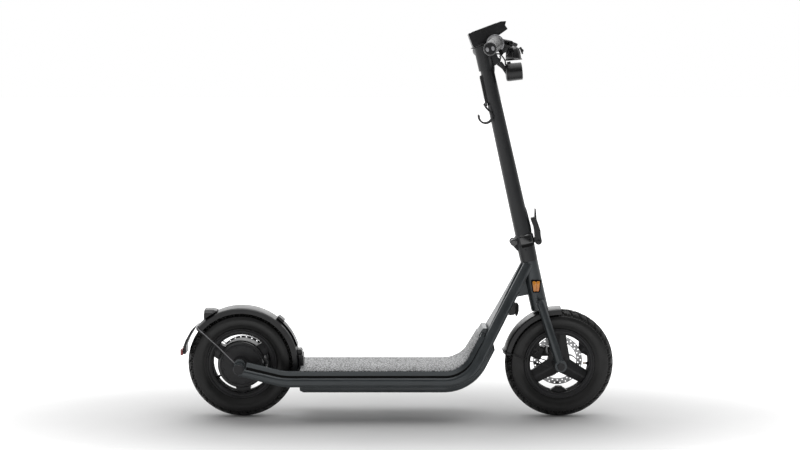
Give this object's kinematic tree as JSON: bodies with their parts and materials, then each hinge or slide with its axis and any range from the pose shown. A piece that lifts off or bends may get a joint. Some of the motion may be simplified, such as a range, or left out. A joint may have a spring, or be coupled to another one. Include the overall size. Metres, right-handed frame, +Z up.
{
  "type": "folding electric scooter",
  "caption": "Folding electric kick scooter with pneumatic tyres, a curved deck, disc brakes, fenders, a hinged stem and a headlight.",
  "frame": {"origin": "bottom centre of the bounding box, on the floor under the wheels", "axes": "+X forward, +Y to the scooter's left, +Z up"},
  "size_m": [1.268, 0.6448, 1.1542],
  "materials": {
    "frame_paint": "satin dark blue-grey paint",
    "stem_paint": "satin near-black paint",
    "black_plastic": "matte black moulded plastic",
    "rubber": "matte black rubber",
    "tyre_rubber": "matte dark grey tyre rubber",
    "cast_black": "black coated cast metal",
    "steel": "plain brushed steel",
    "deck_mat": "speckled grip mat",
    "orange_reflector": "clear orange reflector",
    "red_lens": "red lens",
    "lamp_lens": "clear lamp lens",
    "battery_wrap": "blue shrink wrap"
  },
  "bodies": {
    "frame": {"side_rail_right": "frame_paint", "side_rail_left": "frame_paint", "head_tube": "frame_paint", "headset_bearing_upper": "steel", "headset_bearing_lower": "steel", "down_tube_cover": "frame_paint", "side_reflector_right": "orange_reflector", "side_reflector_left": "orange_reflector", "battery_housing": "frame_paint", "battery_pack": "battery_wrap", "motor_controller": "cast_black", "deck_tray": "frame_paint", "deck_mat": "deck_mat", "charge_port": "black_plastic", "hub_motor_core": "cast_black", "rear_fender": "black_plastic", "tail_light_housing": "black_plastic", "tail_light_lens": "red_lens", "plate_holder": "black_plastic", "plate_reflector": "red_lens", "fold_catch": "black_plastic", "rear_stay": "cast_black", "rear_caliper": "cast_black"},
    "front_fork": {"fork": "frame_paint", "front_axle": "cast_black", "front_fender": "black_plastic", "front_stay": "cast_black", "front_caliper": "cast_black", "hinge_block": "stem_paint", "hinge_pin": "cast_black"},
    "stem": {"stem_tube": "stem_paint", "clamp_collar": "stem_paint", "stem_head": "stem_paint", "display_housing": "black_plastic", "handlebar": "stem_paint", "grip_right": "rubber", "grip_left": "rubber", "brake_perch_right": "black_plastic", "brake_perch_left": "black_plastic", "bell": "black_plastic", "headlight_bracket": "black_plastic", "headlight_body": "black_plastic", "headlight_lens": "lamp_lens", "hook_mount": "black_plastic", "stem_cable": "rubber", "brake_cable": "rubber"},
    "front_wheel": {"front_tyre": "tyre_rubber", "front_rim": "cast_black", "front_rotor": "steel"},
    "rear_wheel": {"rear_tyre": "tyre_rubber", "rear_rim": "cast_black", "rear_rotor": "steel"},
    "right_brake": {"brake_lever_right": "cast_black"},
    "left_brake": {"brake_lever_left": "cast_black"},
    "thumb_throttle": {"throttle": "black_plastic"},
    "striker": {"bell_striker": "black_plastic"},
    "quick_release": {"clamp_lever": "black_plastic"},
    "hook": {"bag_hook": "cast_black"},
    "port_cap": {"charge_port_cap": "rubber"},
    "stand": {"kickstand": "cast_black"}
  },
  "joints": [
    {"name": "steering", "type": "hinge", "parent": "frame", "child": "front_fork", "pos_m": [0.45452, 0, 0.15435], "axis": [-0.2215, 0, 0.9751], "range_deg": [-50, 50]},
    {"name": "stem_fold", "type": "hinge", "parent": "front_fork", "child": "stem", "pos_m": [0.3386, 0, 0.51564], "axis": [0, -1, 0], "range_deg": [0, 95]},
    {"name": "front_wheel_spin", "type": "hinge", "parent": "front_fork", "child": "front_wheel", "pos_m": [0.475, 0, 0.159], "axis": [0, 1, 0], "continuous": true},
    {"name": "rear_wheel_spin", "type": "hinge", "parent": "frame", "child": "rear_wheel", "pos_m": [-0.456, 0, 0.159], "axis": [0, 1, 0], "continuous": true},
    {"name": "right_brake_pull", "type": "hinge", "parent": "stem", "child": "right_brake", "pos_m": [0.31253, -0.148, 1.0882], "axis": [-0.2113, 0, -0.9774], "range_deg": [0, 12], "stiffness_Nm_per_rad": 1.5, "springref_deg": -5.73},
    {"name": "left_brake_pull", "type": "hinge", "parent": "stem", "child": "left_brake", "pos_m": [0.31253, 0.148, 1.0882], "axis": [0.2113, 0, 0.9774], "range_deg": [0, 12], "stiffness_Nm_per_rad": 1.5, "springref_deg": -5.73},
    {"name": "throttle_press", "type": "hinge", "parent": "stem", "child": "thumb_throttle", "pos_m": [0.27128, -0.1845, 1.0891], "axis": [-0.1613, -0.9797, -0.1191], "range_deg": [0, 25], "stiffness_Nm_per_rad": 0.2, "springref_deg": -8.59},
    {"name": "striker_flick", "type": "hinge", "parent": "stem", "child": "striker", "pos_m": [0.3452, -0.118, 1.07788], "axis": [0, -1, 0], "range_deg": [0, 15], "stiffness_Nm_per_rad": 0.05, "springref_deg": -11.46},
    {"name": "quick_release_open", "type": "hinge", "parent": "stem", "child": "quick_release", "pos_m": [0.41131, 0, 0.51832], "axis": [0, 1, 0], "range_deg": [0, 100]},
    {"name": "hook_swing", "type": "hinge", "parent": "stem", "child": "hook", "pos_m": [0.25346, 0, 0.91521], "axis": [0, 1, 0], "range_deg": [0, 80]},
    {"name": "port_cap_open", "type": "hinge", "parent": "frame", "child": "port_cap", "pos_m": [0.3495, 0, 0.336], "axis": [0, -1, 0], "range_deg": [0, 80]},
    {"name": "stand_swing", "type": "hinge", "parent": "frame", "child": "stand", "pos_m": [0.04, 0.097, 0.0925], "axis": [0, -0.8444, -0.5358], "range_deg": [0, 90]}
  ]
}
